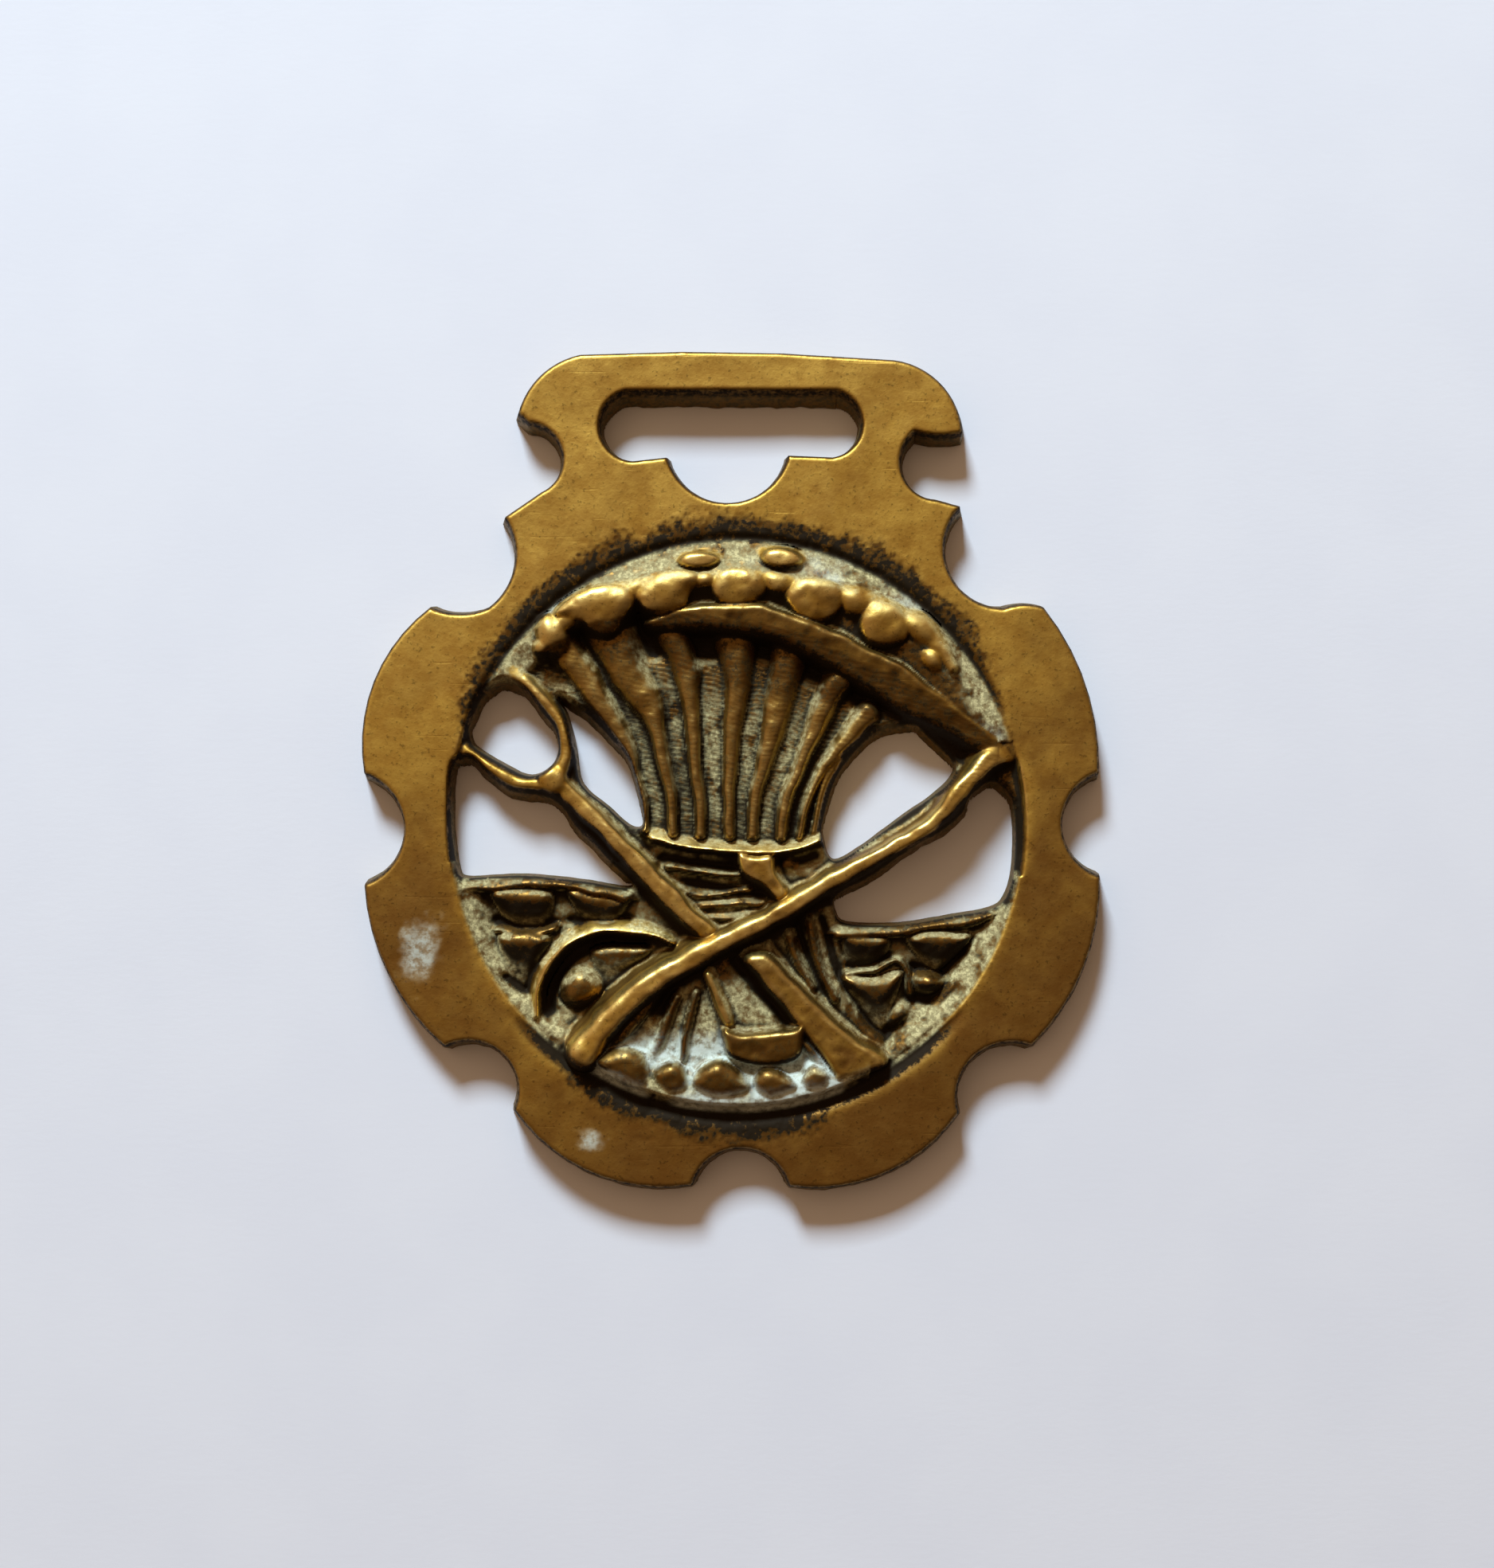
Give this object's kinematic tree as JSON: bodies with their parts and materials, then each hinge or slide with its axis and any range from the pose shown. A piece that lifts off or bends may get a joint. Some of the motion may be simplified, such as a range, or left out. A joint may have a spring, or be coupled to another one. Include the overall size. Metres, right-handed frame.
{
  "type": "horse brass",
  "caption": "Flat cast brass harness ornament: a scalloped ring with a slotted strap hanger, pierced round a wheatsheaf, scythe and spade over leafy banks.",
  "frame": {"origin": "middle of the outline, on the flat back of the casting", "axes": "+X to the right as seen from the front, +Y towards the strap hanger, +Z out of the front face"},
  "size_m": [0.0762, 0.0864, 0.005],
  "materials": {
    "polished_brass": "rubbed high areas of a cast brass, golden brown with fine scratches",
    "worn_brass": "cast brass with brown patina",
    "dull_brass": "rough cast ground with dark pits and pale dried polish"
  },
  "bodies": {
    "root": {"border_ring": "polished_brass", "strap_hanger": "polished_brass", "scythe_snath": "polished_brass", "spade_shaft": "polished_brass", "spade_grip": "polished_brass", "wheat_ear_1": "polished_brass", "wheat_ear_2": "polished_brass", "wheat_ear_3": "polished_brass", "wheat_ear_4": "polished_brass", "wheat_ear_5": "polished_brass", "wheat_ear_6": "polished_brass", "wheat_ear_7": "polished_brass", "wheat_ear_8": "polished_brass", "wheat_ear_9": "polished_brass", "wheat_ear_10": "polished_brass", "wheat_ear_11": "polished_brass", "flat_bud_left": "polished_brass", "flat_bud_right": "polished_brass", "band_upper": "polished_brass", "band_knot": "polished_brass", "scythe_blade": "worn_brass", "spade_blade": "worn_brass", "stalk_1": "worn_brass", "stalk_2": "worn_brass", "stalk_3": "worn_brass", "stalk_4": "worn_brass", "stalk_5": "worn_brass", "stalk_6": "worn_brass", "stalk_7": "worn_brass", "stalk_8": "worn_brass", "band_lower": "worn_brass", "band_fold": "worn_brass", "butt_block": "worn_brass", "butt_straw": "worn_brass", "butt_end_1": "worn_brass", "butt_end_2": "worn_brass", "butt_end_3": "worn_brass", "butt_end_4": "worn_brass", "butt_end_5": "worn_brass", "left_leaf_1": "worn_brass", "left_leaf_2": "worn_brass", "left_leaf_3": "worn_brass", "left_leaf_4": "worn_brass", "right_leaf_1": "worn_brass", "right_leaf_2": "worn_brass", "right_leaf_3": "worn_brass", "right_leaf_4": "worn_brass", "right_leaf_5": "worn_brass", "berry": "worn_brass", "tendril": "worn_brass", "sheaf_crown": "dull_brass", "sheaf_neck": "dull_brass", "sheaf_tail": "dull_brass", "sheaf_butt": "dull_brass", "left_bank": "dull_brass", "right_bank": "dull_brass"}
  },
  "joints": []
}
